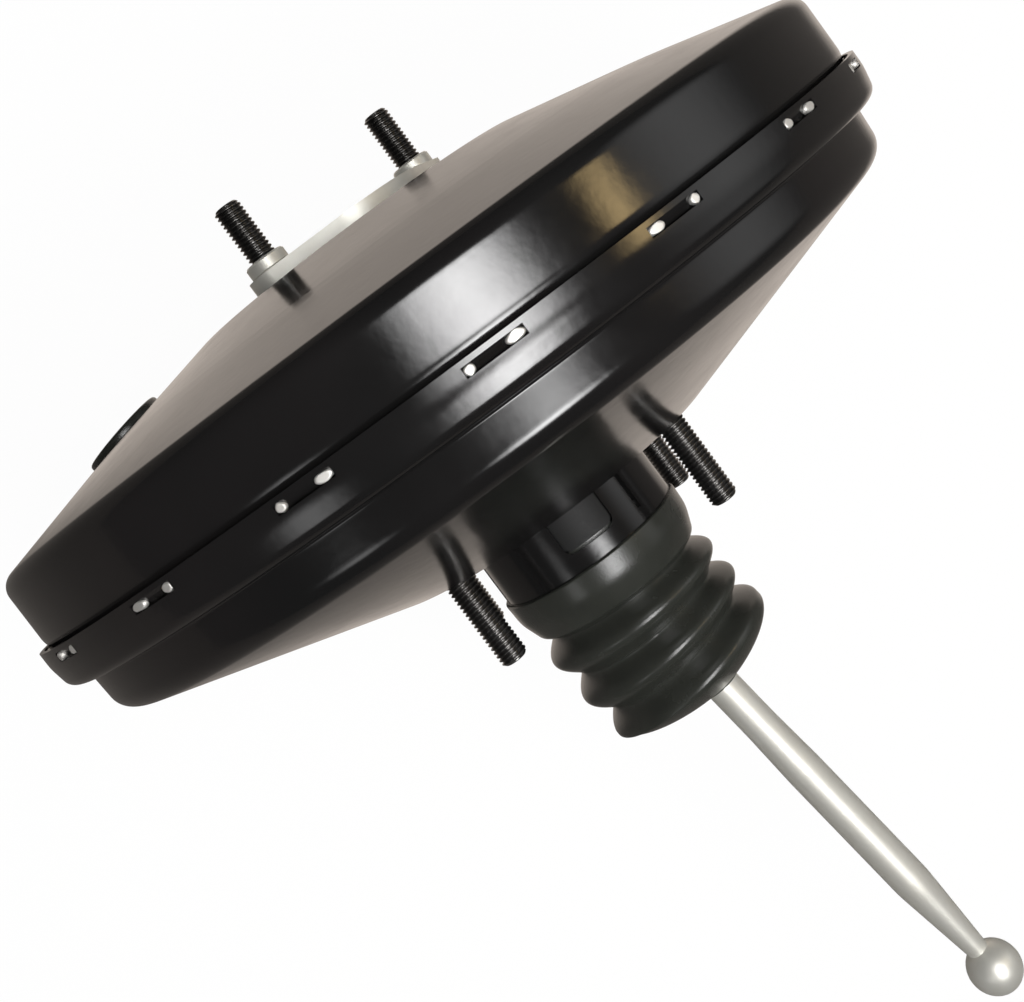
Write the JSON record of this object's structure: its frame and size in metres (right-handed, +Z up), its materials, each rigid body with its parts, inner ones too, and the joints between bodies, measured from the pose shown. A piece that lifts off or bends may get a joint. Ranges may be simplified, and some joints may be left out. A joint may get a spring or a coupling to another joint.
{
  "type": "vacuum brake booster",
  "caption": "Round vacuum brake booster: crimped black steel shells, studs on both faces, a rubber boot and a ball-ended push rod.",
  "frame": {"origin": "centre of the four rear studs, on the booster's axis, in the plane of the rear mounting face", "axes": "+X along the booster's axis towards the master cylinder, +Z up, +Y to the left"},
  "size_m": [0.3128, 0.27, 0.27],
  "materials": {
    "shell_paint": "gloss black",
    "plain_steel": "pressed, plain",
    "stud_steel": "dark plated thread",
    "bright_zinc": "zinc plated, satin",
    "spring_steel": "oiled wire",
    "black_rubber": "satin",
    "white_plastic": "moulded",
    "dark_resin": "moulded resin",
    "black_plastic": "moulded, satin",
    "felt": "felt",
    "foam": "open foam"
  },
  "bodies": {
    "housing": {"front_shell": "shell_paint", "rear_shell": "shell_paint", "front_reinforcing_plate": "plain_steel", "rear_reinforcing_plate": "plain_steel", "master_cylinder_studs": "stud_steel", "stud_collars": "bright_zinc", "front_flange": "bright_zinc", "firewall_studs": "stud_steel", "vacuum_grommet": "black_rubber", "neck_guide": "black_plastic", "neck_seal": "black_rubber", "seal_retaining_ring": "plain_steel", "diaphragm": "black_rubber", "return_spring": "spring_steel", "dust_boot": "black_rubber"},
    "power_piston": {"valve_body": "dark_resin", "stop_key": "plain_steel", "diaphragm_plate": "plain_steel", "reaction_disc": "black_rubber", "output_rod": "bright_zinc", "output_rod_retainer": "plain_steel", "poppet_valve": "black_rubber", "poppet_cup": "plain_steel", "poppet_spring": "spring_steel", "rod_spring": "spring_steel", "air_filter": "foam", "air_silencer": "felt", "filter_keeper": "white_plastic"},
    "control_plunger": {"valve_plunger": "plain_steel"},
    "rod_ball_seat": {"ball_liner": "white_plastic"},
    "push_rod": {"input_rod": "bright_zinc", "rod_spring_seat": "plain_steel"}
  },
  "joints": [
    {"name": "piston_stroke", "type": "slide", "parent": "housing", "child": "power_piston", "axis": [1, 0, 0], "range_m": [0, 0.028], "stiffness_N_per_m": 4000, "springref_m": -0.03, "deforming": ["return_spring", "diaphragm", "dust_boot"]},
    {"name": "plunger_slide", "type": "slide", "parent": "power_piston", "child": "control_plunger", "axis": [1, 0, 0], "range_m": [0, 0.0025], "stiffness_N_per_m": 3000, "springref_m": -0.01, "deforming": ["poppet_valve", "poppet_spring", "rod_spring", "dust_boot"]},
    {"name": "rod_swing_side", "type": "hinge", "parent": "control_plunger", "child": "rod_ball_seat", "pos_m": [-0.022, 0, 0], "axis": [0, 0, 1], "range_deg": [-16.3, 1.7], "deforming": ["dust_boot", "rod_spring"]},
    {"name": "rod_swing_up", "type": "hinge", "parent": "rod_ball_seat", "child": "push_rod", "pos_m": [-0.022, 0, 0], "axis": [0, 1, 0], "range_deg": [-6, 6], "deforming": ["dust_boot", "rod_spring"]}
  ]
}
